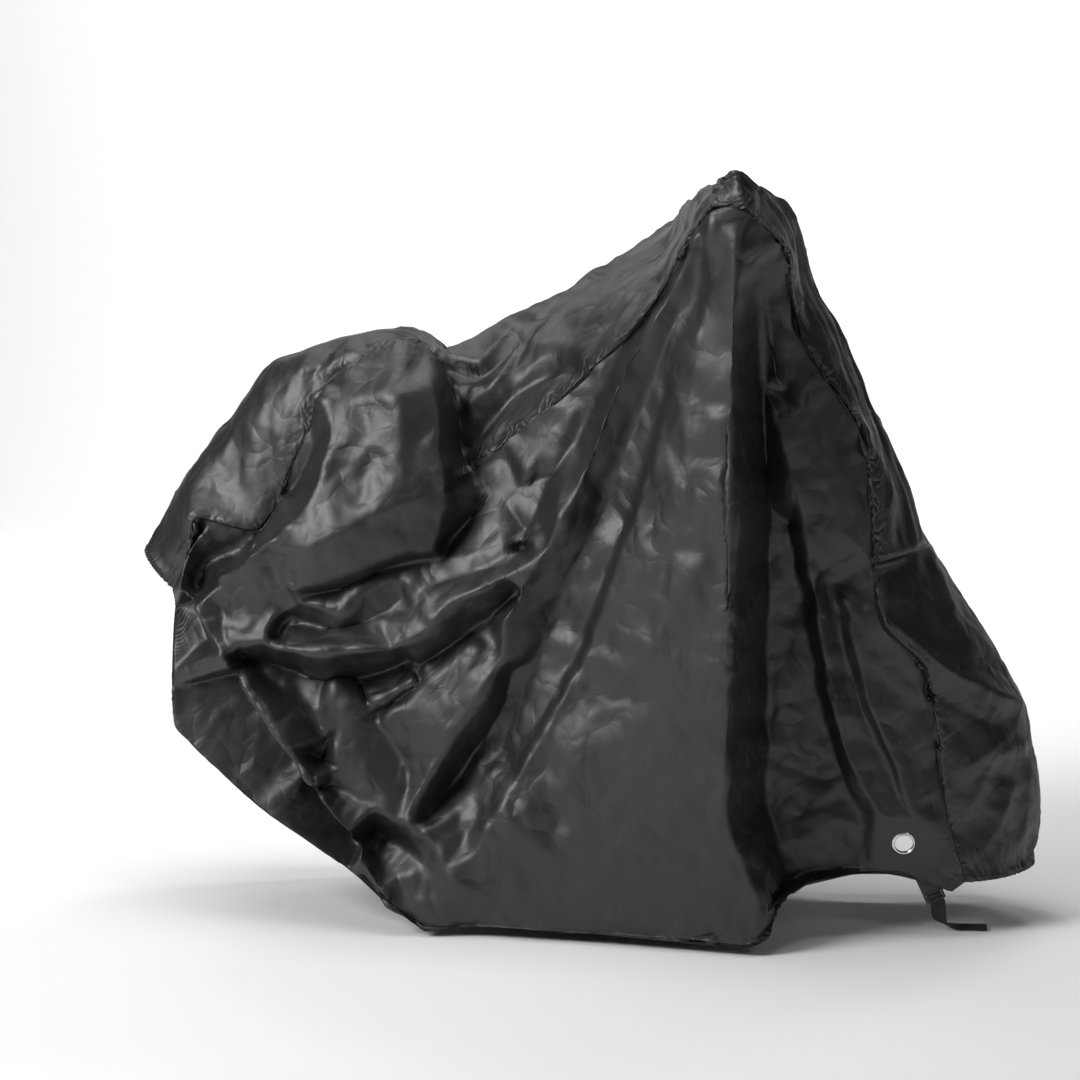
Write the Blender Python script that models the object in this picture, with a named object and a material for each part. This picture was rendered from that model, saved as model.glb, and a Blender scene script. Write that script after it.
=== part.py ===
"""Bicycle cover, as it hangs over a bicycle with wide tyres.

Metres, +Z up, +X towards the front wheel. The origin is where the saddle bears on the underside of
the cover. The tables give millimetres from the floor, midway between the wheels, on the centre plane.
"""

import math

import bmesh
import bpy
import numpy as np
from mathutils import Matrix, Vector

MM = 0.001

# Driving sizes, in millimetres
SADDLE = np.array([-250.0, 0.0, 987.0])  # the top of the saddle, under the cloth
SHEET = 1.5  # cloth, as a solid
SEAM_GAP = 0.6  # between two sewn panels
NEAR_ROWS, BAND_ROWS, STRIP_ROWS, FAR_ROWS = 22, 8, 4, 12
COLUMNS = 58
BAND_FROM = 0.7  # where the hem band starts, as a share of the panel's height
FOLD_STEP = 22.0  # spacing of the points that carry a fold line
FOLD_SOFTNESS = 8.0  # radius that rounds a fold
EASING = 1  # rounds in which each height of a side is drawn towards its neighbours

EYELET_AT = (650.0, 160.0)  # along and up
EYELET_FLAT = (36.0, 80.0)  # cloth is flat within the first radius and free past the second
EYELET_HOLE, EYELET_BORE, EYELET_RIM = 17.0, 15.0, 21.0
EYELET_CLEAR = 0.4
EYELET_STEPS = 32

WEBBING = 25.0
WEBBING_THICK = 1.2
BUCKLE_AT = (694.0, -100.0, 80.0)
BUCKLE_LEAN = 25.0  # degrees from upright, its foot towards the front wheel
BUCKLE_WIDE, BUCKLE_THICK = 34.0, 9.0
# How the tab turns round the socket's bar and the tail round the plug's: out from the buckle's middle
# plane, and up its length.
TAB_TURN = (
    (5.7, 24.0), (5.7, 20.6), (5.2, 19.0), (3.4, 18.3), (0.0, 18.2),
    (-3.4, 18.3), (-5.2, 19.0), (-5.7, 20.6), (-5.7, 24.0),
)
TAB_RISE = (12.0, 26.0, 42.0)
TAB_CLEAR = 1.6
TAIL_TURN = (
    (-2.6, -9.6), (-1.7, -11.7), (0.0, -12.0), (2.0, -12.4), (2.6, -14.0), (2.6, -15.2),
    (2.6, -16.4), (2.0, -18.0), (0.0, -18.4), (-2.0, -18.8), (-2.7, -20.8), (-2.9, -24.0),
)
# The tail from the buckle to the floor: its middle, and which way its width runs.
TAIL = (
    ("below the buckle", 707, -94, 50, 0.92, 0, 0.38),
    ("hanging", 708, -88, 34, 0.95, -0.25, 0.15),
    ("knee", 712, -74, 16, 0.80, -0.60, -0.05),
    ("first on the floor", 726, -62, 7, 0.45, -0.89, -0.14),
    ("laid", 745, -57, 4.5, 0.12, -0.98, -0.16),
    ("end", 787, -54, 4.5, 0.05, -0.99, -0.16),
)

# One row for each section across the cover, from the rear hem to the front hem. Each place is along,
# across (near side negative) and up. round is 0 for a taut ridge and 1 for a full shoulder; bow is how
# far the near side's middle swings forward.
SECTIONS = (
    # name, round, bow, near hem, near seam, crown, far seam, far hem
    ("rear edge", 0.9, 0, (-585, -120, 525), (-595, -100, 550), (-670, 0, 610), (-595, 100, 550), (-585, 120, 525)),
    ("rear gather", 0.9, 0, (-580, -150, 485), (-560, -120, 610), (-622, 0, 682), (-560, 120, 610), (-580, 150, 485)),
    ("rear welt", 0.9, 0, (-575, -180, 390), (-540, -125, 675), (-583, 0, 745), (-535, 125, 680), (-580, 180, 400)),
    ("welt end", 0.9, 0, (-570, -190, 335), (-445, -125, 655), (-543, 0, 808), (-450, 130, 690), (-570, 190, 330)),
    ("saddle back", 0.9, 0, (-535, -200, 300), (-365, -120, 795), (-484, 0, 874), (-380, 120, 790), (-535, 205, 295)),
    ("saddle heel", 0.8, 0, (-470, -210, 245), (-310, -110, 915), (-440, 0, 934), (-310, 110, 915), (-465, 215, 240)),
    ("saddle seat", 0.8, 0, (-405, -220, 195), (-255, -110, 950), (-340, 0, 970), (-255, 110, 950), (-390, 225, 190)),
    ("saddle top", 0.8, 0, (-315, -230, 140), (-180, -100, 980), (-220, 0, 995), (-190, 100, 975), (-300, 235, 140)),
    ("saddle nose", 0.6, 0, (-265, -235, 110), (-145, -80, 960), (-170, 5, 970), (-150, 95, 950), (-240, 240, 100)),
    ("dip", 0.4, 0, (-235, -240, 95), (-105, -95, 850), (-155, 10, 955), (-120, 110, 880), (-200, 240, 80)),
    ("dip foot", 0.3, 0, (-210, -240, 70), (-80, -115, 760), (-115, 20, 970), (-90, 130, 860), (-160, 245, 60)),
    ("first rise", 0.3, 0, (-185, -245, 45), (-5, -130, 820), (-40, 60, 1010), (-20, 180, 880), (-110, 250, 40)),
    ("second rise", 0.3, 0, (-155, -245, 30), (75, -160, 880), (25, 110, 1040), (50, 235, 960), (-40, 255, 20)),
    ("third rise", 0.3, 0, (-125, -250, 10), (170, -190, 970), (100, 190, 1095), (120, 290, 1050), (60, 265, 15)),
    ("far bar end", 0.3, 0, (-55, -240, 20), (245, -220, 1045), (200, 300, 1165), (200, 335, 1115), (195, 290, 10)),
    ("bar middle", 0.4, 0, (45, -250, 20), (305, -280, 1145), (270, 90, 1210), (250, 310, 1060), (255, 270, 25)),
    ("bar near", 0.5, 0, (215, -260, 20), (350, -320, 1195), (330, -120, 1235), (290, 270, 1020), (300, 225, 70)),
    ("skirt low", 0.6, -15, (400, -290, 15), (375, -330, 1200), (355, -220, 1245), (310, 255, 1005), (325, 205, 85)),
    ("bar end", 0.7, -45, (445, -275, 40), (395, -335, 1200), (380, -310, 1250), (325, 245, 990), (340, 190, 95)),
    ("crest back", 0.7, -20, (428, -215, 70), (405, -320, 1185), (405, -270, 1235), (345, 235, 975), (365, 175, 100)),
    ("dark fold", 0.6, 0, (415, -175, 90), (425, -275, 1160), (425, -200, 1220), (370, 225, 955), (390, 168, 102)),
    ("front top", 0.6, 0, (430, -160, 92), (455, -210, 1110), (455, -100, 1185), (400, 215, 930), (420, 165, 105)),
    ("stem", 0.6, 0, (455, -148, 97), (460, -180, 1020), (485, 0, 1085), (440, 205, 880), (452, 165, 105)),
    ("stem foot", 0.6, 0, (490, -138, 104), (520, -160, 920), (540, 0, 960), (485, 195, 820), (485, 165, 108)),
    ("fork top", 0.6, 0, (525, -132, 110), (575, -150, 825), (590, 10, 845), (525, 190, 755), (520, 166, 110)),
    ("fork", 0.6, 0, (555, -130, 114), (585, -150, 750), (640, 15, 735), (555, 190, 690), (552, 168, 112)),
    ("cross seam", 0.6, 0, (590, -130, 115), (595, -150, 625), (680, 25, 640), (585, 195, 615), (588, 172, 112)),
    ("wheel top", 0.6, 0, (622, -130, 115), (605, -155, 535), (740, 30, 545), (610, 200, 530), (618, 175, 110)),
    ("wheel brow", 0.6, 0, (655, -130, 109), (680, -130, 445), (805, 40, 435), (650, 200, 440), (650, 180, 106)),
    ("wheel nose", 0.6, 0, (685, -127, 96), (700, -120, 345), (855, 55, 310), (685, 200, 345), (682, 185, 98)),
    ("wheel low", 0.6, 0, (708, -123, 86), (715, -118, 230), (870, 60, 200), (710, 200, 250), (712, 190, 88)),
    ("front edge", 0.6, 0, (730, -121, 80), (750, -116, 95), (865, 60, 90), (745, 195, 105), (738, 192, 80)),
)

# One row for each fold line of a side: along, up, and how far it stands out from the centre plane.
NEAR_FOLDS = (
    ("crest of the bar fold", (386, 1070, 335), (382, 650, 330), (378, 330, 320), (411, 149, 298), (438, 75, 285)),
    ("dark side of the bar fold", (409, 1068, 235), (420, 725, 150), (432, 360, 134), (410, 161, 152)),
    ("floor of the dark fold", (458, 692, 142), (506, 461, 131), (574, 209, 128)),
    ("foot of the dark fold", (455, 430, 130), (475, 290, 126), (465, 170, 136)),
    ("wheel ridge", (432, 878, 200), (477, 729, 182), (525, 468, 162), (611, 209, 146)),
    ("wheel trough", (523, 591, 140), (607, 325, 134), (643, 232, 132)),
    ("wheel side", (550, 565, 156), (626, 318, 149), (668, 202, 142)),
    ("tube under the bar", (418, 1099, 248), (441, 923, 202)),
    ("tube trough", (448, 1019, 186), (449, 890, 178)),
    ("front shoulder", (475, 891, 185), (541, 681, 172)),
    ("skirt face", (335, 1054, 305), (283, 578, 292), (215, 149, 276)),
    ("lip of the long crease", (329, 1077, 292), (255, 829, 268), (143, 499, 242), (16, 259, 242), (-77, 93, 254)),
    ("long crease", (316, 1076, 276), (240, 827, 248), (125, 498, 221), (-9, 257, 220), (-64, 164, 226)),
    ("between the creases", (269, 988, 246), (188, 793, 218), (112, 594, 202), (-47, 283, 206)),
    ("second ridge", (284, 1092, 272), (193, 930, 252), (89, 684, 246), (6, 537, 246)),
    ("third trough", (191, 970, 214), (124, 838, 182), (53, 712, 164), (20, 646, 168)),
    ("valley trough", (-75, 660, 145), (-36, 719, 134), (82, 766, 156)),
    ("crease from the knot", (-85, 628, 178), (-21, 648, 190), (66, 672, 212)),
    ("broad dark facet", (-125, 575, 192), (7, 632, 206)),
    ("long swag ridge", (-191, 473, 228), (-94, 548, 236), (75, 655, 238)),
    ("under the long swag", (-150, 442, 174), (-65, 500, 176), (22, 572, 200)),
    ("rolled swag", (-399, 493, 214), (-349, 482, 232), (-221, 474, 236)),
    ("under the rolled swag", (-445, 419, 150), (-276, 418, 150), (-215, 428, 162)),
    ("over the rolled swag", (-356, 512, 168), (-237, 513, 178), (-183, 551, 176)),
    ("saddle fold", (-320, 881, 152), (-296, 816, 186), (-307, 753, 206), (-357, 686, 216), (-461, 599, 208)),
    ("behind the saddle fold", (-333, 802, 126), (-410, 707, 112), (-468, 601, 112), (-501, 483, 132)),
    ("saddle cheek", (-178, 884, 190), (-168, 803, 202), (-182, 673, 220), (-256, 656, 226)),
    ("cheek ridge", (-112, 778, 207), (-190, 727, 224), (-234, 701, 230)),
    ("saddle mass edge", (-146, 958, 100), (-124, 895, 152), (-111, 783, 196), (-108, 735, 196), (-122, 634, 190)),
    ("saddle mass foot", (-355, 572, 232), (-201, 628, 234), (-120, 629, 206)),
    ("under the saddle mass", (-356, 545, 182), (-210, 596, 170), (-154, 607, 168)),
    ("rear knee", (-407, 938, 104), (-328, 884, 142)),
    ("rear ridge", (-425, 900, 96), (-401, 827, 132), (-398, 728, 150)),
    ("flap ridge", (-545, 551, 188), (-466, 442, 222), (-335, 272, 254), (-191, 59, 264)),
    ("inside the flap", (-532, 535, 120), (-452, 388, 150), (-332, 243, 178), (-179, 72, 226)),
    ("lower arc", (-331, 255, 196), (-182, 193, 230), (-99, 135, 244), (-83, 102, 252)),
    ("under the lower arc", (-263, 194, 196), (-134, 120, 222), (-157, 78, 232)),
    ("knot hollow", (-272, 376, 150), (-234, 304, 170)),
    ("third swag ridge", (-8, 465, 228), (-66, 375, 228), (-166, 200, 230)),
    ("beside the third swag", (13, 455, 196), (-77, 279, 188), (-133, 200, 200)),
    ("swag face", (-67, 466, 204), (-199, 357, 174)),
)
FAR_FOLDS = (
    ("far crest", (198, 950, 332), (205, 600, 325), (195, 250, 305)),
    ("front of the far crest", (250, 950, 255), (275, 600, 200), (285, 250, 190)),
    ("far wheel hollow", (330, 850, 190), (390, 500, 158), (450, 220, 150)),
    ("far wheel ridge", (420, 800, 200), (510, 500, 185), (590, 230, 178)),
    ("far skirt crease", (110, 900, 260), (20, 550, 225), (-60, 200, 232)),
    ("far skirt lip", (140, 900, 285), (55, 550, 262), (-20, 200, 262)),
    ("far second ridge", (30, 860, 242), (-75, 560, 245), (-170, 250, 255)),
    ("far valley", (-60, 760, 165), (-170, 520, 172), (-260, 300, 190)),
    ("far saddle drop", (-215, 850, 200), (-235, 650, 232), (-320, 420, 248)),
    ("behind the far saddle", (-360, 780, 135), (-400, 600, 165), (-440, 400, 185)),
    ("far rear ridge", (-450, 620, 185), (-505, 430, 215), (-490, 320, 222)),
)


def named(name):
    """Index of a section."""
    return [row[0] for row in SECTIONS].index(name)


def through(rows, at):
    """Places on a smooth line through the rows, at fractional row numbers, with no overshoot."""
    rows = np.asarray(rows, float)
    first = np.clip(np.floor(at).astype(int), 0, len(rows) - 2)
    part = (at - first)[:, None]
    steps = np.diff(rows, axis=0)
    before, after = steps[:-1], steps[1:]
    same = before * after > 0
    total = np.where(same, before + after, 1.0)
    slopes = np.zeros_like(rows)
    slopes[1:-1] = np.where(same, 2 * before * after / total, 0.0)
    slopes[0], slopes[-1] = steps[0], steps[-1]
    start, end = rows[first], rows[first + 1]
    cubed, squared = part**3, part**2
    return (
        (2 * cubed - 3 * squared + 1) * start
        + (cubed - 2 * squared + part) * slopes[first]
        + (3 * squared - 2 * cubed) * end
        + (cubed - squared) * slopes[first + 1]
    )


def column_places(count, cuts):
    """Fractional section numbers, evenly spread by the cloth's own length, with a column on each cut."""
    corners = np.array([[row[k] for k in (3, 4, 5, 6)] for row in SECTIONS], float)
    widths = np.linalg.norm(np.diff(corners, axis=0), axis=2).mean(axis=1)
    length = np.concatenate([[0.0], np.cumsum(widths)])
    marks = [0, *[named(cut) for cut in cuts], len(SECTIONS) - 1]
    places = [0.0]
    for low, high in zip(marks, marks[1:]):
        share = (length[high] - length[low]) / length[-1]
        steps = np.linspace(length[low], length[high], max(2, round(count * share)) + 1)[1:]
        places += list(np.interp(steps, length, np.arange(len(length))))
    return np.array(places)


class Stretched:
    """How far a side stands out, as cloth stretched over its fold lines."""

    def __init__(self, lines, softness):
        self.softness = softness
        self.points = np.concatenate([self.spread(line) for line in lines])
        spots, heights = self.points[:, :2], self.points[:, 2]
        count = len(spots)
        system = np.ones((count + 3, count + 3))
        system[:count, :count] = -self.reach(spots) + np.eye(count) * softness * 0.4
        system[:count, count + 1 :] = spots
        system[count:, :count] = system[:count, count:].T
        system[count:, count:] = 0.0
        self.weights = np.linalg.solve(system, np.concatenate([heights, np.zeros(3)]))

    @staticmethod
    def spread(line):
        line = np.asarray(line, float)
        lengths = np.linalg.norm(np.diff(line, axis=0), axis=1)
        number = max(2, int(np.ceil(lengths.sum() / FOLD_STEP)))
        along = np.interp(
            np.linspace(0, lengths.sum(), number),
            np.concatenate([[0], np.cumsum(lengths)]),
            np.arange(len(line)),
        )
        return through(line, along)

    def reach(self, spots):
        apart = spots[:, None, :] - self.points[None, :, :2]
        return np.sqrt((apart**2).sum(axis=2) + self.softness**2)

    def __call__(self, along, up):
        spots = np.stack([np.ravel(along), np.ravel(up)], axis=1)
        count = len(self.points)
        out = -self.reach(spots) @ self.weights[:count]
        out += self.weights[count] + spots @ self.weights[count + 1 :]
        return out.reshape(np.shape(along))


def side_heights(folds, hem, seam, side):
    """The Stretched surface of one side, held at its hem and seam."""
    lines = [row[1:] for row in folds]
    for edge in (hem, seam):
        lines.append(np.stack([edge[:, 0], edge[:, 2], edge[:, 1] * side], axis=1))
    return Stretched(lines, FOLD_SOFTNESS)


def flattened(heights, along, up):
    """The near side's heights, made flat round the eyelet."""
    out = heights(along, up)
    inner, outer = EYELET_FLAT
    east, north = np.array(EYELET_AT)
    middle = heights(np.array([east]), np.array([north]))[0]
    tilt_along = (heights(np.array([east + inner]), np.array([north]))[0] - middle) / inner
    tilt_up = (heights(np.array([east]), np.array([north + inner]))[0] - middle) / inner
    plane = middle + (along - east) * tilt_along + (up - north) * tilt_up
    away = np.hypot(along - east, up - north)
    blend = np.clip((outer - away) / (outer - inner), 0.0, 1.0)
    blend = blend * blend * (3 - 2 * blend)
    return out * (1 - blend) + plane * blend


def side_grid(hem, seam, bow, rows, heights, side):
    """Rows of places from the hem up to the seam, by column."""
    share = rows[None, :, None]
    grid = hem[:, None, :] * share + seam[:, None, :] * (1 - share)
    grid[:, :, 0] += bow[:, None] * 4 * rows * (1 - rows)
    out = heights(grid[:, :, 0], grid[:, :, 2])
    for _ in range(EASING):
        out[1:-1] = (out[:-2] + 2 * out[1:-1] + out[2:]) / 4
        out[:, 1:-1] = (out[:, :-2] + 2 * out[:, 1:-1] + out[:, 2:]) / 4
    grid[:, :, 1] = side * out
    grid[:, rows == 1.0] = hem[:, None, :]
    grid[:, rows == 0.0] = seam[:, None, :]
    return grid


def strip_half(seam, crown, roundness, rows):
    """The top strip from a seam (row 0) up to the crown (row 1), by column."""
    turn = rows[None, :, None] * math.pi / 2
    straight = seam[:, None, :] * (1 - rows[None, :, None]) + crown[:, None, :] * rows[None, :, None]
    rounded = seam[:, None, :] + (crown - seam)[:, None, :] * np.sin(turn)
    across = crown[:, None, 1] + (seam - crown)[:, None, 1] * np.cos(turn[:, :, 0])
    rounded[:, :, 1] = across
    full = roundness[:, None, None]
    return straight * (1 - full) + rounded * full


def normals_of(grid):
    """Outward directions of a grid of places, made longer at a fold so that the sheet keeps its
    thickness there."""
    faces = np.cross(grid[1:, 1:] - grid[:-1, :-1], grid[:-1, 1:] - grid[1:, :-1])
    faces /= np.maximum(np.linalg.norm(faces, axis=2, keepdims=True), 1e-9)
    faces = np.pad(faces, ((1, 1), (1, 1), (0, 0)), mode="edge")
    corners = (faces[:-1, :-1], faces[1:, :-1], faces[:-1, 1:], faces[1:, 1:])
    outward = sum(corners)
    outward /= np.maximum(np.linalg.norm(outward, axis=2, keepdims=True), 1e-9)
    lean = np.mean([(outward * corner).sum(axis=2) for corner in corners], axis=0)
    return outward / np.clip(lean, 0.6, 1.0)[:, :, None]


def from_table(point):
    """Millimetres of the tables to metres from the origin."""
    return Vector((np.asarray(point, float) - SADDLE) * MM)


def frame(middle, across, up):
    """A place in the tables with its own directions: X across, Z up and Y away from the near side."""
    across, up = Vector(across).normalized(), Vector(up).normalized()
    away = up.cross(across).normalized()
    turn = Matrix((across, away, up)).transposed().to_4x4()
    turn.translation = from_table(middle)
    return turn


def material(name, colour, roughness, metallic=0.0):
    made = bpy.data.materials.new(name)
    made.use_nodes = True
    shader = made.node_tree.nodes["Principled BSDF"]
    shader.inputs["Base Color"].default_value = (*colour, 1.0)
    shader.inputs["Roughness"].default_value = roughness
    shader.inputs["Metallic"].default_value = metallic
    return made


def face_out(shape):
    bmesh.ops.recalc_face_normals(shape, faces=shape.faces[:])
    if shape.calc_volume(signed=True) < 0:
        bmesh.ops.reverse_faces(shape, faces=shape.faces[:])


def add(name, shape, collection, finish=None, smooth=False):
    """A bmesh as a named object with its material."""
    face_out(shape)
    mesh = bpy.data.meshes.new(name)
    shape.to_mesh(mesh)
    shape.free()
    if finish:
        mesh.materials.append(finish)
    if smooth:
        mesh.shade_smooth()
    piece = bpy.data.objects.new(name, mesh)
    collection.objects.link(piece)
    return piece


def pulled_back(grid, gaps):
    """The grid with its sewn edges (rear, front, low, high) drawn in from the seam line."""
    grid = grid.copy()
    every = slice(None)
    edges = ((0, every), (-1, every), (every, 0), (every, -1))
    insides = ((1, every), (-2, every), (every, 1), (every, -2))
    for gap, edge, inside in zip(gaps, edges, insides):
        if not gap:
            continue
        line = np.gradient(grid[edge], axis=0)
        line /= np.linalg.norm(line, axis=1, keepdims=True)
        inwards = grid[inside] - grid[edge]
        inwards -= line * (inwards * line).sum(axis=1, keepdims=True)
        grid[edge] += inwards / np.linalg.norm(inwards, axis=1, keepdims=True) * gap
    return grid


def sheet(grid, outward, thick, left_out=None):
    """A bmesh of a grid of places made a closed sheet. left_out gives the first column and the last row
    of a corner that another panel fills."""
    columns, rows = grid.shape[:2]

    def cell(place):
        return (place.x + 0.5) * (columns - 1), (place.y + 0.5) * (rows - 1)

    shape = bmesh.new()
    bmesh.ops.create_grid(shape, x_segments=columns - 1, y_segments=rows - 1, size=0.5)
    if left_out:
        spare = []
        for face in shape.faces:
            column, row = cell(face.calc_center_median())
            if column > left_out[0] and row < left_out[1]:
                spare.append(face)
        bmesh.ops.delete(shape, geom=spare, context="FACES")
    outer = list(shape.verts)
    extruded = bmesh.ops.extrude_face_region(shape, geom=shape.faces[:], use_keep_orig=True)
    inner = {
        tuple(round(n) for n in cell(item.co)): item
        for item in extruded["geom"]
        if isinstance(item, bmesh.types.BMVert)
    }
    for vertex in outer:
        place = tuple(round(n) for n in cell(vertex.co))
        vertex.co = from_table(grid[place])
        inner[place].co = from_table(grid[place] - outward[place] * thick)
    return shape


def ribbon(middles, widths, thick):
    """A bmesh of a strip of webbing along its middle line."""
    middles, widths = np.asarray(middles, float), np.asarray(widths, float)
    across = np.linspace(-0.5, 0.5, 3)
    grid = middles[:, None, :] + widths[:, None, :] * across[None, :, None]
    outward = normals_of(grid)
    return sheet(grid + outward * thick / 2, outward, thick)


def block(size, at, bevel=0.0):
    """A bmesh box, in millimetres."""
    shape = bmesh.new()
    bmesh.ops.create_cube(shape, size=1.0)
    bmesh.ops.scale(shape, vec=Vector(size) * MM, verts=shape.verts[:])
    if bevel:
        bmesh.ops.bevel(
            shape, geom=shape.edges[:], offset=bevel * MM, segments=2, profile=0.5, affect="EDGES"
        )
    bmesh.ops.translate(shape, vec=Vector(at) * MM, verts=shape.verts[:])
    return shape


def placed(shape, where):
    bmesh.ops.transform(shape, matrix=where, verts=shape.verts[:])
    return shape


def carve(piece, tool, operation="DIFFERENCE"):
    """Cuts a helper from a piece, or joins it on. The helper isn't rendered."""
    tool.hide_render = True
    tool.display_type = "WIRE"
    change = piece.modifiers.new(tool.name, "BOOLEAN")
    change.operation = operation
    change.solver = "EXACT"
    change.object = tool


def turned_ring(profile, steps):
    """A bmesh turned from a closed profile of radius and height, in millimetres."""
    shape = bmesh.new()
    bmesh.ops.create_circle(shape, segments=len(profile), radius=1.0)
    for vertex, (radius, height) in zip(shape.verts[:], profile):
        vertex.co = Vector((radius, 0.0, height)) * MM
    bmesh.ops.spin(
        shape,
        geom=shape.verts[:] + shape.edges[:],
        axis=(0, 0, 1),
        cent=(0, 0, 0),
        angle=2 * math.pi,
        steps=steps,
        use_merge=True,
    )
    return shape


def clear_scene():
    for item in list(bpy.data.objects):
        bpy.data.objects.remove(item, do_unlink=True)


def cover_grid():
    """Every place of the cloth's outer face, from the near hem over the top to the far hem, with the
    rows and columns that its seams follow and the heights of the near side."""
    at = column_places(COLUMNS, ("front top", "fork top", "cross seam"))
    roundness, bow = (through([[row[k]] for row in SECTIONS], at)[:, 0] for k in (1, 2))
    hem, seam, crown, far_seam, far_hem = (through([row[k] for row in SECTIONS], at) for k in (3, 4, 5, 6, 7))
    stretched = side_heights(NEAR_FOLDS, hem, seam, -1)
    far = side_heights(FAR_FOLDS, far_hem, far_seam, 1)

    def near(along, up):
        return flattened(stretched, along, up)

    band_rows = np.linspace(BAND_FROM, 1, BAND_ROWS + 1)[1:]
    near_rows = np.concatenate([np.linspace(0, BAND_FROM, NEAR_ROWS + 1), band_rows])[::-1]
    strip_rows = np.linspace(0, 1, STRIP_ROWS + 1)
    near_side = side_grid(hem, seam, bow, near_rows, near, -1)
    near_strip = strip_half(seam, crown, roundness, strip_rows)
    far_strip = strip_half(far_seam, crown, roundness, strip_rows)[:, ::-1]
    far_side = side_grid(far_hem, far_seam, 0 * bow, np.linspace(0, 1, FAR_ROWS + 1), far, 1)
    parts = (near_side, near_strip[:, 1:], far_strip[:, 1:], far_side[:, 1:])
    whole = np.concatenate(parts, axis=1)
    columns = {row[0]: int(np.argmin(abs(at - k))) for k, row in enumerate(SECTIONS)}
    near_seam = len(near_rows) - 1
    rows = {"band": BAND_ROWS, "near seam": near_seam, "far seam": near_seam + 2 * STRIP_ROWS}
    return whole, columns, rows, near


def cloth_panels(parts, cloth):
    """The five pieces of cloth. Gives the near side's heights, for what is fixed to it."""
    whole, columns, rows, near = cover_grid()
    outward = normals_of(whole)
    every = slice(None)
    cross, wheel = columns["cross seam"], columns["fork top"]
    low, high = slice(0, rows["near seam"] + 1), slice(rows["near seam"], rows["far seam"] + 1)
    sewn = SEAM_GAP / 2
    panels = (
        ("top_strip", slice(0, cross + 1), high, (0, sewn, sewn, sewn)),
        ("front_panel", slice(cross, None), high, (sewn, 0, sewn, sewn)),
        ("side_panel_far", every, slice(rows["far seam"], None), (0, 0, sewn, 0)),
        ("side_panel_near", every, low, (0, 0, 0, sewn)),
        ("hem_band_near", slice(wheel, None), slice(0, rows["band"] + 1), (SEAM_GAP, 0, 0, SEAM_GAP)),
    )
    made = {}
    for name, across, up, gaps in panels:
        corner = (wheel, rows["band"]) if name == "side_panel_near" else None
        places = pulled_back(whole[across, up], gaps)
        made[name] = add(name, sheet(places, outward[across, up], SHEET, corner), parts, cloth, True)
    return made, near


def eyelet(band, near, parts, cutters, metal):
    """A ring set in the hem band, and the hole it sits in."""
    east, north = np.array([EYELET_AT[0]]), np.array([EYELET_AT[1]])
    middle = near(east, north)[0]
    slope = Vector((near(east + 5, north)[0] - middle, 0, near(east, north + 5)[0] - middle)) / 5
    outward = Vector((-slope.x, -1.0, -slope.z)).normalized()
    centre = np.array((EYELET_AT[0], -middle, EYELET_AT[1])) - np.array(outward) * SHEET / 2
    turn = outward.to_track_quat("Z", "Y").to_matrix().to_4x4()
    turn.translation = from_table(centre)
    grip, neck = SHEET / 2 + EYELET_CLEAR, EYELET_HOLE - EYELET_CLEAR
    profile = (
        (EYELET_BORE, -2.2), (EYELET_BORE, 2.6), (EYELET_BORE + 0.8, 3.4), (EYELET_BORE + 2.4, 3.6),
        (EYELET_RIM - 1.4, 2.9), (EYELET_RIM, 1.9), (EYELET_RIM - 0.2, grip), (neck, grip),
        (neck, -grip), (EYELET_RIM - 0.8, -grip), (EYELET_RIM - 0.6, -1.9), (EYELET_BORE + 1.0, -2.8),
    )
    add("eyelet", placed(turned_ring(profile, EYELET_STEPS), turn), parts, metal, True)
    drill = bmesh.new()
    bmesh.ops.create_cone(
        drill, cap_ends=True, segments=EYELET_STEPS, depth=30 * MM,
        radius1=EYELET_HOLE * MM, radius2=EYELET_HOLE * MM,
    )
    carve(band, add("cut_eyelet", placed(drill, turn), cutters))


def buckle(parts, cutters, plastic):
    """A side-release buckle, fastened. Its own Z runs from its foot to its top."""
    lean = math.radians(BUCKLE_LEAN)
    where = frame(BUCKLE_AT, (math.cos(lean), 0, math.sin(lean)), (-math.sin(lean), 0, math.cos(lean)))
    wide, thick = BUCKLE_WIDE, BUCKLE_THICK

    def piece(name, size, at, bevel, collection, finish=None):
        return add(name, placed(block(size, at, bevel), where), collection, finish)

    socket = piece("buckle_socket", (wide, thick, 29), (0, 0, 8.5), 1.6, parts, plastic)
    carve(socket, piece("cut_tab_slot", (WEBBING + 1.6, 20, 3.6), (0, 0, 18.2), 0, cutters))
    carve(socket, piece("cut_mouth", (wide - 6, 5.2, 21), (0, 0, 1.5), 0, cutters))
    carve(socket, piece("cut_windows", (wide + 10, 6.2, 7), (0, 0, 4.5), 0, cutters))
    plug = piece("buckle_plug", (wide, thick - 2, 17.1), (0, 0, -14.95), 1.3, parts, plastic)
    carve(plug, piece("cut_upper_slot", (WEBBING + 1.6, 20, 3.4), (0, 0, -12.0), 0, cutters))
    carve(plug, piece("cut_lower_slot", (WEBBING + 1.6, 20, 3.4), (0, 0, -18.4), 0, cutters))
    carve(plug, piece("cut_bar_front", (WEBBING + 2.6, 6, 13.2), (0, -4.4, -15.3), 0, cutters))
    carve(plug, piece("cut_bar_back", (WEBBING + 2.6, 6, 19), (0, 4.4, -18.2), 0, cutters))
    carve(plug, piece("join_guide", (5, 3.8, 17.6), (0, 0, 0.4), 0, cutters), "UNION")
    for side, at in (("left", -1), ("right", 1)):
        carve(plug, piece("join_arm_" + side, (3.6, 3.4, 13), (at * 10.6, 0, -2.0), 0, cutters), "UNION")
        carve(plug, piece("join_hook_" + side, (6.0, 4, 4.4), (at * 10.9, 0, 4.6), 0, cutters), "UNION")
    return where


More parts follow.
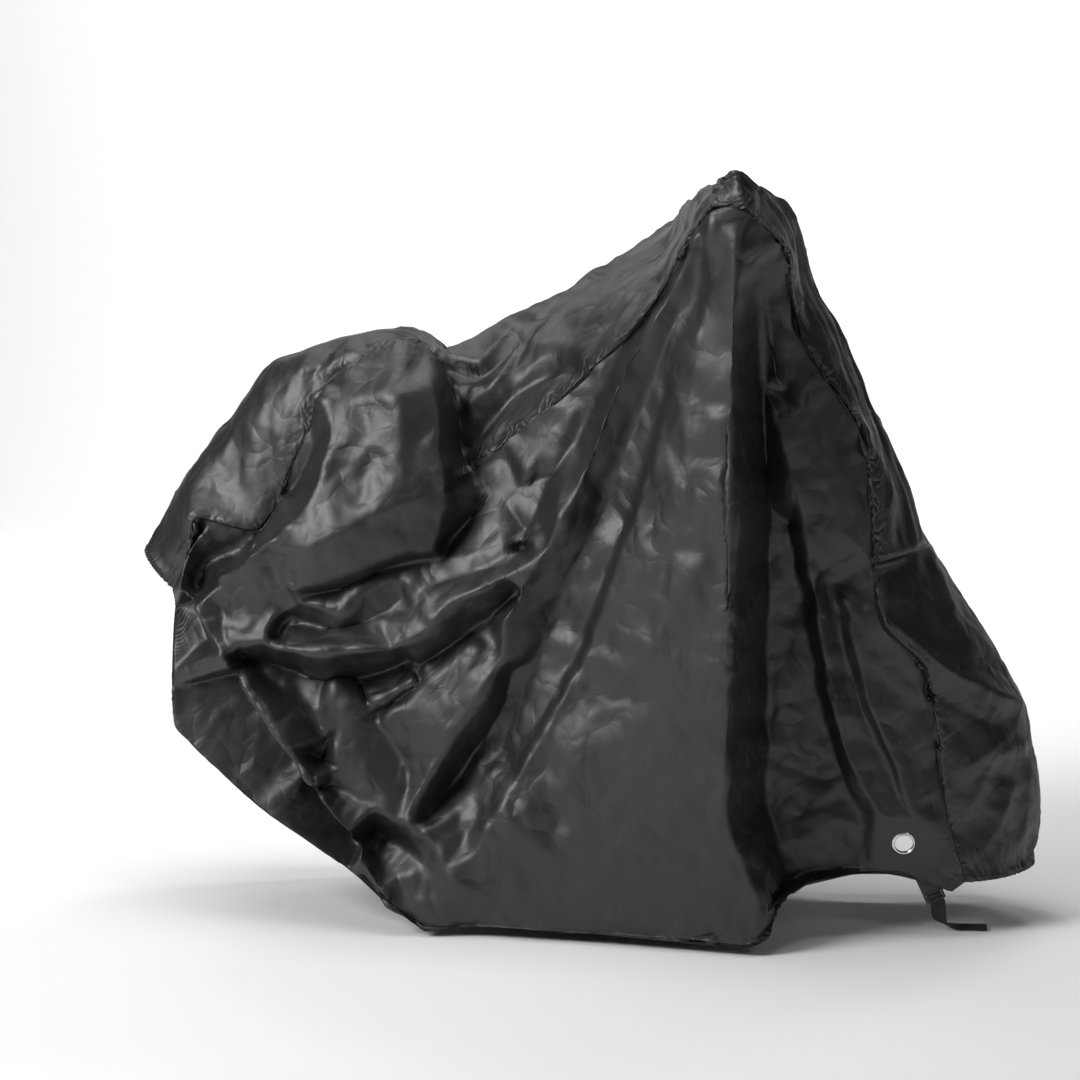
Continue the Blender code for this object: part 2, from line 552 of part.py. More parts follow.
def place_on(where, across, out, up):
    """A point of a frame as table millimetres."""
    point = where @ (Vector((across, -out, up)) * MM)
    return np.array(point) / MM + SADDLE


def webbing(where, near, parts, strap):
    """The tab that holds the buckle inside the hem, and the strap's free tail."""
    side = WEBBING * np.array(where.to_3x3().col[0])
    top = place_on(where, 0, 0, 22)
    line = [place_on(where, 0, out, up) for out, up in TAB_TURN]
    reach = np.array([-math.sin(math.radians(BUCKLE_LEAN)), 0.0, math.cos(math.radians(BUCKLE_LEAN))])
    for rise in TAB_RISE:
        spot = top + reach * rise
        clear = SHEET + TAB_CLEAR + WEBBING_THICK / 2
        outer = near(np.array([spot[0]]), np.array([spot[2]]))[0] - clear
        front = np.array((spot[0], -outer, spot[2]))
        line = [front, *line, front + np.array((0.0, WEBBING_THICK + 0.6, 0.0))]
    add("hem_tab", ribbon(line, [side] * len(line), WEBBING_THICK), parts, strap, True)

    line = [place_on(where, 0, out, up) for out, up in TAIL_TURN]
    widths = [side] * len(line)
    for row in TAIL:
        line.append(np.array(row[1:4]))
        widths.append(WEBBING * np.array(Vector(row[4:7]).normalized()))
    finer = np.linspace(0, len(line) - 1, 4 * len(line) - 3)
    widths = through(widths, finer)
    widths *= WEBBING / np.linalg.norm(widths, axis=1, keepdims=True)
    add("strap_tail", ribbon(through(line, finer), widths, WEBBING_THICK), parts, strap, True)


def build():
    clear_scene()
    parts = bpy.data.collections.new("bicycle_cover")
    cutters = bpy.data.collections.new("cutters")
    cutters.hide_render = True
    for collection in (parts, cutters):
        bpy.context.scene.collection.children.link(collection)
    cloth = material("black_taffeta", (0.035, 0.034, 0.037), 0.42)
    metal = material("nickel", (0.72, 0.72, 0.70), 0.22, 1.0)
    plastic = material("black_plastic", (0.030, 0.030, 0.031), 0.5)
    strap = material("black_webbing", (0.018, 0.018, 0.019), 0.85)

    panels, near = cloth_panels(parts, cloth)
    eyelet(panels["hem_band_near"], near, parts, cutters, metal)
    where = buckle(parts, cutters, plastic)
    webbing(where, near, parts, strap)


build()
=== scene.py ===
"""Looks of the bicycle cover: fine cloth, seams, hems, finishes, studio and camera.

Metres, +Z up, +X towards the front hem. The tables give millimetres: up from the floor, across
from the centre plane, with the near side negative, and along from 250 mm ahead of the top of the
hump.
"""

import math

import bmesh
import bpy
import numpy as np
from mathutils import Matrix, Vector, geometry, noise


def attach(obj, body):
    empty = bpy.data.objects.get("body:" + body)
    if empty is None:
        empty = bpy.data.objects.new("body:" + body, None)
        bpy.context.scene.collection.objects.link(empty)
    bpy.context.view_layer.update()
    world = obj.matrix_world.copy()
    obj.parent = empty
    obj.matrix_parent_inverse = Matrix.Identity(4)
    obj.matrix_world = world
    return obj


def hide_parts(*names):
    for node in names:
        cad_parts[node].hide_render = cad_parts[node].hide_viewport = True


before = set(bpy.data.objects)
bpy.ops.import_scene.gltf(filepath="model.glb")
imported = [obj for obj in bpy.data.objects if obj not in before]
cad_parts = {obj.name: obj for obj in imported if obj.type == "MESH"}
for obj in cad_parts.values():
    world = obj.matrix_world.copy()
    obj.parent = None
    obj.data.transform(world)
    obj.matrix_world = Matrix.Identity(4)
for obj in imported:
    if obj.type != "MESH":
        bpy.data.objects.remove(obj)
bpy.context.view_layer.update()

MM = 0.001
ORIGIN = np.array([-250.0, 0.0, 987.0])  # the top of the hump, under the cloth
FLOOR = -ORIGIN[2] * MM

CLOTH = 1.0  # the cloth's thickness, in millimetres

# Cells of each panel's grid
NEAR_SIZE = (296, 158)  # along and up
FAR_SIZE = (150, 84)
STRIP_LENGTH, FRONT_LENGTH = 240, 76
STRIP_ROWS = 52  # from a seam up to the crown

# How a side is drawn from its fold lines: the millimetres between the places of a line, and the
# rounds of smoothing
NEAR_DRAWN = (24.0, 1)
FAR_DRAWN = (40.0, 24)
RASTER = 3.0  # millimetres
RASTER_MARGIN = 12  # cells
GROW_ROUNDS = 10

# Sliding a side's places: how far each goes towards its share in a round, the rounds, and the
# rounds of smoothing in each
SLIDE, SLIDE_ROUNDS, SLIDE_SMOOTH = 0.6, 3, 12

# Short creases, in millimetres: half their length, how far they rise, and how wide they are
NICK_REACH, NICK_HEIGHT, NICK_WIDTH = (16, 60), (0.8, 3.2), (5, 11)

# Pleats of the elastic hems: millimetres from one to the next, their height, and how far in they
# reach
PLEAT_STEP, PLEAT_HEIGHT, PLEAT_REACH = 10.5, 3.2, 45.0

EYELET_AT = (650.0, 160.0)  # along and up
EYELET_FLAT = (30.0, 70.0)  # cloth is flat within the first radius and free past the second
EYELET_HOLE = 17.0

CAMERA_AT = (783.0, -4691.0, 1201.0)
CAMERA_YAW, CAMERA_PITCH, CAMERA_LENS = 9.2, 6.8, 93.63

LIGHTS = (
    # name, where, aimed at, size, power
    ("key", (-3.4, -3.4, 2.6), (0.2, 0.0, -0.4), (2.0, 2.2), 268.0),
    ("right", (3.6, -3.4, 2.2), (0.5, 0.0, -0.4), (0.5, 1.2), 16.0),
    ("backdrop left", (-1.9, 3.2, 3.4), (-0.8, 6.8, -0.6), (1.6, 1.6), 138.0),
    ("backdrop right", (1.6, 3.2, 3.4), (0.4, 6.8, -0.6), (1.6, 1.6), 138.0),
    ("overhead", (-0.2, -0.2, 3.6), (-0.2, -0.2, -1.0), (2.6, 2.6), 85.0),
)

# One row for each section across the cover, from the rear hem to the front hem. Each place is
# along, across (near side negative) and up. round is 0 for a taut ridge and 1 for a full shoulder;
# bow is how far the near side's middle swings forward.
SECTIONS = (
    # name, round, bow, near hem, near seam, crown, far seam, far hem
    (
        "rear edge", 0.9, 0, (-585, -120, 525), (-595, -100, 550), (-670, 0, 610), (-595, 100, 550),
        (-585, 120, 525),
    ),
    (
        "rear gather", 0.9, 0, (-580, -150, 485), (-560, -120, 610), (-622, 0, 682),
        (-560, 120, 610), (-580, 150, 485),
    ),
    (
        "rear welt", 0.9, 0, (-575, -180, 390), (-540, -125, 675), (-583, 0, 745), (-535, 125, 680),
        (-580, 180, 400),
    ),
    (
        "welt end", 0.9, 0, (-570, -190, 335), (-445, -125, 655), (-543, 0, 808), (-450, 130, 690),
        (-570, 190, 330),
    ),
    (
        "hump back", 0.9, 0, (-535, -200, 300), (-365, -120, 795), (-484, 0, 874), (-380, 120, 790),
        (-535, 205, 295),
    ),
    (
        "hump heel", 0.8, 0, (-470, -210, 245), (-310, -110, 915), (-440, 0, 934), (-310, 110, 915),
        (-465, 215, 240),
    ),
    (
        "hump middle", 0.8, 0, (-405, -220, 195), (-255, -110, 950), (-340, 0, 970),
        (-255, 110, 950), (-390, 225, 190),
    ),
    (
        "hump top", 0.8, 0, (-315, -230, 140), (-180, -100, 980), (-220, 0, 995), (-190, 100, 975),
        (-300, 235, 140),
    ),
    (
        "hump front", 0.6, 0, (-265, -235, 110), (-145, -80, 960), (-170, 5, 970), (-150, 95, 950),
        (-240, 240, 100),
    ),
    (
        "dip", 0.4, 0, (-235, -240, 95), (-105, -95, 850), (-155, 10, 955), (-120, 110, 880),
        (-200, 240, 80),
    ),
    (
        "dip foot", 0.3, 0, (-210, -240, 70), (-80, -115, 760), (-115, 20, 970), (-90, 130, 860),
        (-160, 245, 60),
    ),
    (
        "first rise", 0.3, 0, (-185, -245, 45), (-5, -130, 820), (-40, 60, 1010), (-20, 180, 880),
        (-110, 250, 40),
    ),
    (
        "second rise", 0.3, 0, (-155, -245, 30), (75, -160, 880), (25, 110, 1040), (50, 235, 960),
        (-40, 255, 20),
    ),
    (
        "third rise", 0.3, 0, (-125, -250, 10), (170, -190, 970), (100, 190, 1095),
        (120, 290, 1050), (60, 265, 15),
    ),
    (
        "far peak end", 0.3, 0, (-55, -240, 20), (245, -220, 1045), (200, 300, 1165),
        (200, 335, 1115), (195, 290, 10),
    ),
    (
        "peak middle", 0.4, 0, (45, -250, 20), (305, -280, 1145), (270, 90, 1210), (250, 310, 1060),
        (255, 270, 25),
    ),
    (
        "peak near", 0.5, 0, (215, -260, 20), (350, -320, 1195), (330, -120, 1235),
        (290, 270, 1020), (300, 225, 70),
    ),
    (
        "skirt low", 0.6, -15, (400, -290, 15), (375, -330, 1200), (355, -220, 1245),
        (310, 255, 1005), (325, 205, 85),
    ),
    (
        "peak end", 0.7, -45, (445, -275, 40), (395, -335, 1200), (380, -310, 1250),
        (325, 245, 990), (340, 190, 95),
    ),
    (
        "crest back", 0.7, -20, (444, -215, 62), (405, -320, 1185), (405, -270, 1235),
        (345, 235, 975), (365, 175, 100),
    ),
    (
        "dark fold", 0.6, 0, (452, -175, 86), (425, -275, 1160), (425, -200, 1220), (370, 225, 955),
        (390, 168, 102),
    ),
    (
        "front top", 0.6, 0, (462, -160, 92), (455, -210, 1110), (455, -100, 1185), (400, 215, 930),
        (420, 165, 105),
    ),
    (
        "front upper", 0.6, 0, (474, -148, 97), (460, -180, 1020), (485, 0, 1085), (440, 205, 880),
        (452, 165, 105),
    ),
    (
        "front middle", 0.6, 0, (490, -138, 104), (520, -160, 920), (540, 0, 960), (485, 195, 820),
        (485, 165, 108),
    ),
    (
        "front lower", 0.6, 0, (525, -132, 110), (575, -150, 825), (590, 10, 845), (525, 190, 755),
        (520, 166, 110),
    ),
    (
        "front foot", 0.6, 0, (555, -130, 114), (585, -150, 750), (640, 15, 735), (555, 190, 690),
        (552, 168, 112),
    ),
    (
        "cross seam", 0.6, 0, (590, -130, 115), (595, -150, 625), (680, 25, 640), (585, 195, 615),
        (588, 172, 112),
    ),
    (
        "nose top", 0.6, 0, (622, -130, 115), (605, -155, 535), (740, 30, 545), (610, 200, 530),
        (618, 175, 110),
    ),
    (
        "nose brow", 0.6, 0, (655, -130, 109), (680, -130, 445), (805, 40, 435), (650, 200, 440),
        (650, 180, 106),
    ),
    (
        "nose", 0.6, 0, (685, -127, 96), (700, -120, 345), (855, 55, 310), (685, 200, 345),
        (682, 185, 98),
    ),
    (
        "nose low", 0.6, 0, (708, -123, 86), (715, -118, 230), (870, 60, 200), (710, 200, 250),
        (712, 190, 88),
    ),
    (
        "front edge", 0.6, 0, (730, -121, 80), (750, -116, 95), (865, 60, 90), (745, 195, 105),
        (738, 192, 80),
    ),
)

# One row for each fold line of a side: along, up, and how far it stands out from the centre plane.
NEAR_FOLDS = (
    (
        "crest of the peak fold", (388, 1150, 338), (385, 1070, 336), (380, 425, 326),
        (376, 260, 316), (436, 75, 288),
    ),
    (
        "dark side of the peak fold", (412, 1070, 235), (415, 890, 175), (420, 725, 150),
        (425, 360, 134), (424, 250, 138), (434, 190, 142), (456, 130, 158),
    ),
    ("floor of the dark fold", (460, 690, 142), (480, 560, 134), (530, 320, 128), (575, 210, 128)),
    (
        "nose ridge", (430, 880, 200), (475, 730, 182), (500, 580, 168), (550, 325, 156),
        (610, 210, 146),
    ),
    ("nose trough", (525, 590, 140), (555, 450, 137), (645, 230, 132)),
    ("nose side", (550, 565, 156), (580, 435, 154), (670, 200, 142)),
    ("tuck under the peak", (420, 1100, 248), (430, 1020, 222), (440, 925, 202)),
    ("tuck trough", (450, 1020, 186), (450, 890, 178)),
    ("front shoulder", (475, 890, 185), (515, 795, 180), (540, 680, 172)),
    ("skirt face", (360, 1170, 322), (335, 1055, 308), (255, 335, 292), (215, 150, 278)),
    (
        "lip of the long crease", (345, 1170, 326), (330, 1075, 292), (215, 705, 256),
        (145, 500, 242), (70, 350, 240), (-75, 95, 254),
    ),
    (
        "long crease", (334, 1165, 312), (315, 1075, 272), (200, 705, 232), (125, 500, 217),
        (50, 345, 214), (-65, 165, 224),
    ),
    (
        "between the creases", (318, 1120, 284), (270, 990, 244), (190, 795, 216), (65, 495, 196),
        (25, 400, 182), (-5, 315, 176), (-25, 280, 184),
    ),
    (
        "second ridge", (318, 1150, 308), (285, 1085, 276), (195, 930, 254), (120, 740, 246),
        (5, 535, 246),
    ),
    ("third trough", (190, 970, 214), (85, 775, 168), (20, 645, 168)),
    ("puckered facet", (120, 870, 180), (60, 820, 162), (30, 755, 162)),
    ("valley trough", (-105, 650, 134), (-35, 720, 134), (80, 765, 156)),
    ("crease from the knot", (-110, 620, 172), (65, 670, 212)),
    ("broad dark facet", (-145, 570, 190), (-60, 600, 194), (5, 630, 206)),
    (
        "long swag ridge", (-190, 475, 228), (-120, 515, 234), (-95, 550, 236), (-15, 590, 240),
        (75, 655, 238),
    ),
    ("under the long swag", (-165, 435, 170), (-65, 500, 176), (-10, 545, 186), (20, 570, 200)),
    (
        "rolled swag", (-370, 530, 196), (-400, 515, 206), (-405, 485, 212), (-380, 475, 224),
        (-315, 470, 234), (-220, 475, 236), (-190, 475, 230),
    ),
    (
        "under the rolled swag", (-400, 435, 150), (-340, 415, 144), (-280, 415, 142),
        (-210, 430, 148), (-175, 450, 160),
    ),
    (
        "over the rolled swag", (-350, 510, 172), (-295, 500, 182), (-235, 515, 178),
        (-185, 550, 176),
    ),
    (
        "hump fold", (-320, 880, 152), (-295, 815, 186), (-305, 765, 204), (-315, 740, 210),
        (-355, 685, 218), (-405, 640, 214), (-450, 610, 204), (-495, 580, 190), (-490, 525, 184),
        (-485, 495, 188), (-475, 460, 210),
    ),
    (
        "behind the hump fold", (-335, 800, 126), (-365, 745, 118), (-410, 705, 112),
        (-445, 655, 108), (-480, 620, 108), (-535, 595, 112), (-545, 555, 122), (-535, 505, 134),
        (-520, 475, 152),
    ),
    ("hump cheek", (-180, 885, 190), (-170, 805, 202), (-175, 750, 214)),
    (
        "cheek ridge", (-100, 740, 208), (-165, 715, 224), (-225, 690, 236), (-285, 660, 238),
        (-335, 635, 234),
    ),
    ("cheek dent", (-250, 880, 160), (-230, 835, 176), (-270, 770, 192)),
    (
        "hump edge", (-145, 960, 100), (-125, 895, 152), (-115, 835, 180), (-110, 785, 196),
        (-100, 735, 202), (-120, 635, 190),
    ),
    (
        "hump foot", (-360, 570, 222), (-280, 595, 216), (-205, 625, 210), (-155, 635, 202),
        (-125, 630, 192),
    ),
    (
        "under the hump", (-330, 560, 186), (-285, 570, 176), (-245, 590, 172), (-205, 605, 168),
        (-150, 620, 172),
    ),
    ("rear knee", (-405, 940, 104), (-330, 885, 142)),
    ("rear ridge", (-425, 900, 96), (-400, 825, 132), (-400, 730, 150)),
    ("rear facet", (-485, 790, 100), (-495, 725, 128), (-465, 690, 140)),
    ("flap edge fold", (-545, 640, 142), (-560, 610, 158), (-565, 560, 168)),
    (
        "flap ridge", (-545, 550, 188), (-465, 440, 222), (-335, 270, 254), (-230, 130, 265),
        (-190, 60, 264),
    ),
    (
        "inside the flap", (-460, 445, 146), (-445, 400, 150), (-395, 340, 156), (-350, 270, 162),
        (-315, 215, 162), (-265, 160, 176), (-225, 130, 204), (-180, 90, 236),
    ),
    (
        "lower arc", (-345, 255, 190), (-295, 235, 206), (-250, 220, 218), (-170, 190, 232),
        (-130, 175, 238), (-100, 135, 246), (-85, 100, 254),
    ),
    ("under the lower arc", (-280, 180, 164), (-225, 155, 176), (-170, 140, 204), (-125, 115, 232)),
    ("knot hollow", (-265, 405, 146), (-245, 380, 152)),
    ("inner ridge", (-280, 355, 198), (-290, 285, 206), (-260, 230, 214)),
    ("inner hollow", (-305, 315, 176), (-320, 275, 176)),
    (
        "third swag ridge", (-5, 460, 228), (-35, 405, 226), (-75, 345, 224), (-115, 280, 226),
        (-165, 200, 230),
    ),
    (
        "beside the third swag", (10, 445, 190), (-15, 380, 170), (-60, 300, 160), (-105, 230, 166),
        (-135, 185, 196),
    ),
    ("swag face", (-210, 350, 190), (-150, 395, 196), (-95, 445, 202), (-60, 480, 206)),
    ("hem ridge", (-80, 80, 252), (-105, 45, 252)),
    ("pleat at the foot", (-405, 630, 200), (-390, 595, 196), (-370, 570, 204)),
    ("facet below the pleat", (-400, 530, 198), (-435, 495, 196), (-465, 460, 206)),
    (
        "fold under the hump", (-345, 545, 206), (-300, 540, 206), (-275, 535, 200),
        (-235, 570, 196), (-205, 590, 192), (-175, 585, 190),
    ),
    ("inside the roll", (-370, 515, 174), (-390, 495, 172), (-385, 480, 182)),
    ("left of the apex", (-350, 445, 178), (-300, 415, 182), (-255, 385, 184), (-240, 370, 186)),
    ("right of the apex", (-225, 380, 186), (-185, 400, 190), (-155, 415, 192)),
    ("sliver", (-220, 360, 166), (-190, 380, 170), (-150, 415, 176)),
    ("knot to the flap", (-280, 360, 198), (-320, 365, 186), (-370, 385, 176), (-420, 415, 168)),
    ("knot to the foot", (-285, 350, 198), (-330, 305, 188), (-350, 275, 188)),
    ("swag edge", (-260, 365, 196), (-260, 310, 202), (-220, 250, 216), (-175, 195, 230)),
    ("swag crease", (-215, 345, 182), (-195, 310, 186), (-165, 255, 196), (-170, 220, 214)),
    ("second swag foot", (-20, 275, 198), (-65, 225, 206), (-115, 180, 224)),
)
FAR_FOLDS = (
    ("far crest", (198, 950, 332), (205, 600, 325), (195, 250, 305)),
    ("front of the far crest", (250, 950, 255), (275, 600, 200), (285, 250, 190)),
    ("far nose hollow", (330, 850, 190), (390, 500, 158), (450, 220, 150)),
    ("far nose ridge", (420, 800, 200), (510, 500, 185), (590, 230, 178)),
    ("far skirt crease", (110, 900, 260), (20, 550, 225), (-60, 200, 232)),
    ("far skirt lip", (140, 900, 285), (55, 550, 262), (-20, 200, 262)),
    ("far second ridge", (30, 860, 242), (-75, 560, 245), (-170, 250, 255)),
    ("far valley", (-60, 760, 165), (-170, 520, 172), (-260, 300, 190)),
    ("far hump drop", (-215, 850, 200), (-235, 650, 232), (-320, 420, 248)),
    ("behind the far hump", (-360, 780, 135), (-400, 600, 165), (-440, 400, 185)),
    ("far rear ridge", (-450, 620, 185), (-505, 430, 215), (-490, 320, 222)),
)

# One row for each fold pressed into the strip over the top: name, rise, how soft it is on its left
# and on its right, then its line by along and up.
TOP_FOLDS = (
    ("rise edge", 13, 26, 9, (-150, 950), (-110, 942), (-80, 935), (-45, 970), (-10, 1010)),
    ("under the rise", -16, 12, 12, (-140, 932), (-80, 918), (-38, 944), (0, 975)),
    ("star left", 12, 14, 8, (-135, 918), (-105, 882), (-70, 845)),
    ("star right", 15, 22, 9, (-70, 845), (-35, 900), (-5, 975)),
    ("star post", 8, 7, 7, (-75, 905), (-75, 875), (-70, 845)),
    ("beside the star", -14, 12, 9, (-58, 862), (-18, 925), (12, 975)),
    ("sweep", -16, 14, 22, (-62, 842), (-25, 885), (30, 925), (95, 940), (128, 925)),
    ("sweep top", 11, 34, 10, (0, 912), (40, 945), (95, 958), (130, 945)),
    ("tension", 5, 20, 12, (-10, 1022), (45, 1055), (100, 1092)),
    ("peak dent", -8, 16, 10, (185, 1100), (235, 1145), (290, 1180)),
    ("small peak dent", -6, 8, 8, (225, 1075), (268, 1110)),
    ("front diagonal", 15, 22, 12, (590, 548), (640, 510), (700, 455), (775, 405), (850, 352)),
    ("under the front diagonal", -8, 20, 22, (630, 470), (700, 410), (790, 350), (850, 310)),
    ("front small ridge", 8, 10, 10, (730, 278), (785, 310), (822, 336)),
    ("front long line", 6, 14, 7, (742, 190), (770, 245), (800, 295), (840, 308)),
    ("front upper streak", 6, 14, 14, (640, 615), (680, 560), (715, 500)),
    ("front low ridge", 7, 12, 9, (780, 140), (808, 195), (828, 255)),
    ("far low ridge", 6, 10, 10, (832, 130), (848, 195), (852, 260)),
    ("upper front streak", 6, 18, 14, (500, 1040), (540, 960), (570, 880)),
    ("lower front streak", 6, 14, 16, (560, 860), (600, 775), (640, 690)),
)


# --- Shapes -------------------------------------------------------------------------------------


def through(rows, at):
    """Places on a smooth line through the rows, at fractional row numbers, with no overshoot."""
    rows = np.asarray(rows, float)
    first = np.clip(np.floor(at).astype(int), 0, len(rows) - 2)
    part = (at - first)[:, None]
    steps = np.diff(rows, axis=0)
    before, after = steps[:-1], steps[1:]
    same = before * after > 0
    slopes = np.zeros_like(rows)
    slopes[1:-1] = np.where(same, 2 * before * after / np.where(same, before + after, 1.0), 0.0)
    slopes[0], slopes[-1] = steps[0], steps[-1]
    cubed, squared = part**3, part**2
    return (
        (2 * cubed - 3 * squared + 1) * rows[first]
        + (cubed - 2 * squared + part) * slopes[first]
        + (3 * squared - 2 * cubed) * rows[first + 1]
        + (cubed - squared) * slopes[first + 1]
    )


def spread(line, step):
    """The points of a line, smoothed and spaced evenly."""
    line = np.asarray(line, float)
    lengths = np.concatenate([[0], np.cumsum(np.linalg.norm(np.diff(line, axis=0), axis=1))])
    number = max(2, int(np.ceil(lengths[-1] / step)) + 1)
    at = np.interp(np.linspace(0, lengths[-1], number), lengths, np.arange(len(line)))
    return through(line, at)


def section(name):
    """The number of a named section."""
    return [row[0] for row in SECTIONS].index(name)


def column_places(count, first=0, last=None):
    """Fractional section numbers, evenly spread by the cloth's own length."""
    corners = np.array([[row[k] for k in (3, 4, 5, 6)] for row in SECTIONS], float)
    widths = np.linalg.norm(np.diff(corners, axis=0), axis=2).mean(axis=1)
    length = np.concatenate([[0.0], np.cumsum(widths)])
    last = len(SECTIONS) - 1 if last is None else last
    ends = np.interp([first, last], np.arange(len(length)), length)
    return np.interp(np.linspace(*ends, count + 1), length, np.arange(len(length)))


class Drawn:
    """How far a side stands out, as cloth drawn straight from fold line to fold line."""

    def __init__(self, lines, step, rounds):
        lines = [spread(line, step) for line in lines]
        self.points = np.concatenate(lines)
        edges, count = [], 0
        for line in lines:
            edges += [(k, k + 1) for k in range(count, count + len(line) - 1)]
            count += len(line)
        spots = [Vector(point[:2]) for point in self.points]
        corners, _, faces, sources, _, _ = geometry.delaunay_2d_cdt(spots, edges, [], 0, 0.01)
        corners = np.array([tuple(corner) for corner in corners])
        heights = np.array([
            self.points[source, 2].mean() if source else self.nearest(corner)
            for corner, source in zip(corners, sources)
        ])
        self.start = corners.min(axis=0) - RASTER_MARGIN * RASTER
        size = np.ceil((corners.max(axis=0) - self.start) / RASTER).astype(int) + RASTER_MARGIN
        self.raster = np.zeros(size)
        self.known = np.zeros(size, bool)
        for face in faces:
            self.fill((corners[list(face)] - self.start) / RASTER, heights[list(face)])
        for _ in range(GROW_ROUNDS):
            self.grow()
        self.raster = smoothed(self.raster, rounds)

    def nearest(self, spot):
        """How far the closest drawn place stands out."""
        return self.points[((self.points[:, :2] - spot) ** 2).sum(axis=1).argmin(), 2]

    def fill(self, corners, heights):
        """Writes one facet into the raster."""
        low = np.ceil(corners.min(axis=0)).astype(int)
        high = np.floor(corners.max(axis=0)).astype(int) + 1
        (a, b), (c, d) = corners[1] - corners[0], corners[2] - corners[0]
        area = a * d - b * c
        if abs(area) < 1e-6 or (high <= low).any():
            return
        east = np.arange(low[0], high[0])[:, None] - corners[0, 0]
        north = np.arange(low[1], high[1])[None, :] - corners[0, 1]
        first, second = (east * d - north * c) / area, (north * a - east * b) / area
        inside = (first >= -1e-6) & (second >= -1e-6) & (first + second <= 1 + 1e-6)
        value = heights[0] + first * (heights[1] - heights[0]) + second * (heights[2] - heights[0])
        window = self.raster[low[0] : high[0], low[1] : high[1]]
        window[inside] = value[inside]
        known = self.known[low[0] : high[0], low[1] : high[1]]
        known[inside] = True

    def grow(self):
        """Carries the surface one step beyond its edge."""
        ways = [(east, north) for east in (-1, 0, 1) for north in (-1, 0, 1)]
        count = sum(np.roll(self.known, way, (0, 1)).astype(float) for way in ways)
        total = sum(np.roll(self.raster * self.known, way, (0, 1)) for way in ways)
        edge = (count > 0) & ~self.known
        self.raster[edge] = total[edge] / count[edge]
        self.known |= edge

    def __call__(self, along, up):
        """How far the side stands out at these places."""
        east = np.clip((along - self.start[0]) / RASTER, 0, self.raster.shape[0] - 1.001)
        north = np.clip((up - self.start[1]) / RASTER, 0, self.raster.shape[1] - 1.001)
        column, row = east.astype(int), north.astype(int)
        east, north = east - column, north - row
        low = self.raster[column, row] * (1 - east) + self.raster[column + 1, row] * east
        high = self.raster[column, row + 1] * (1 - east) + self.raster[column + 1, row + 1] * east
        return low * (1 - north) + high * north


def side_surface(folds, hem, seam, side, drawn):
    """A side drawn through its fold lines, its hem and its seam."""
    lines = [row[1:] for row in folds]
    for edge in (hem, seam):
        lines.append(np.stack([edge[:, 0], edge[:, 2], edge[:, 1] * side], axis=1))
    return Drawn(lines, *drawn)


def flattened(heights, along, up):
    """The near side's heights, made flat round the eyelet."""
    inner, outer = EYELET_FLAT
    east, north = np.array(EYELET_AT)
    middle = heights(np.array([east]), np.array([north]))[0]
    tilt_along = (heights(np.array([east + inner]), np.array([north]))[0] - middle) / inner
    tilt_up = (heights(np.array([east]), np.array([north + inner]))[0] - middle) / inner
    plane = middle + (along - east) * tilt_along + (up - north) * tilt_up
    blend = np.clip((outer - np.hypot(along - east, up - north)) / (outer - inner), 0.0, 1.0)
    blend = blend * blend * (3 - 2 * blend)
    return heights(along, up) * (1 - blend) + plane * blend


def shares(count, fine_first, fine_last):
    """Shares of a length, from 0 to 1, with finer steps at its ends."""
    steps = np.ones(count)
    steps[:fine_first] = 0.4
    steps[count - fine_last :] = 0.3
    return np.concatenate([[0.0], np.cumsum(steps)]) / steps.sum()


def evened(grid, heights, side, goals):
    """Slides a side's places over its surface, together, towards their shares of its length."""
    for _ in range(SLIDE_ROUNDS):
        for axis in (1, 0):
            lanes = grid if axis == 1 else grid.transpose(1, 0, 2)
            run = lengths(lanes, 1)
            count = run.shape[1]
            goal = run[:, [-1]] * goals[axis]
            slid = np.stack([np.interp(g, r, np.arange(count)) for g, r in zip(goal, run)])
            slid = smoothed(SLIDE * slid + (1 - SLIDE) * np.arange(count), SLIDE_SMOOTH)
            moved = np.stack([
                [np.interp(places, np.arange(count), lane[:, k]) for k in range(3)]
                for places, lane in zip(slid, lanes)
            ]).transpose(0, 2, 1)
            inside = moved if axis == 1 else moved.transpose(1, 0, 2)
            grid[1:-1, 1:-1] = inside[1:-1, 1:-1]
        grid[1:-1, 1:-1, 1] = side * heights(grid[1:-1, 1:-1, 0], grid[1:-1, 1:-1, 2])
    return grid


def lengths(grid, axis):
    """Millimetres from the first place of each lane of a grid."""
    steps = np.linalg.norm(np.diff(grid, axis=axis), axis=2)
    start = np.zeros_like(np.take(steps, [0], axis))
    return np.concatenate([start, np.cumsum(steps, axis=axis)], axis=axis)


def faded(distance, reach):
    """1 at no distance, and less the further away."""
    return np.exp(-np.abs(distance) / reach)


def grain(places, size, seed):
    """Smooth noise from -1 to 1, of one size in millimetres, at every place."""
    spots = np.reshape(places, (-1, 3)) / size + seed * 17.3
    return np.reshape([noise.noise(spot) for spot in spots], places.shape[:2])


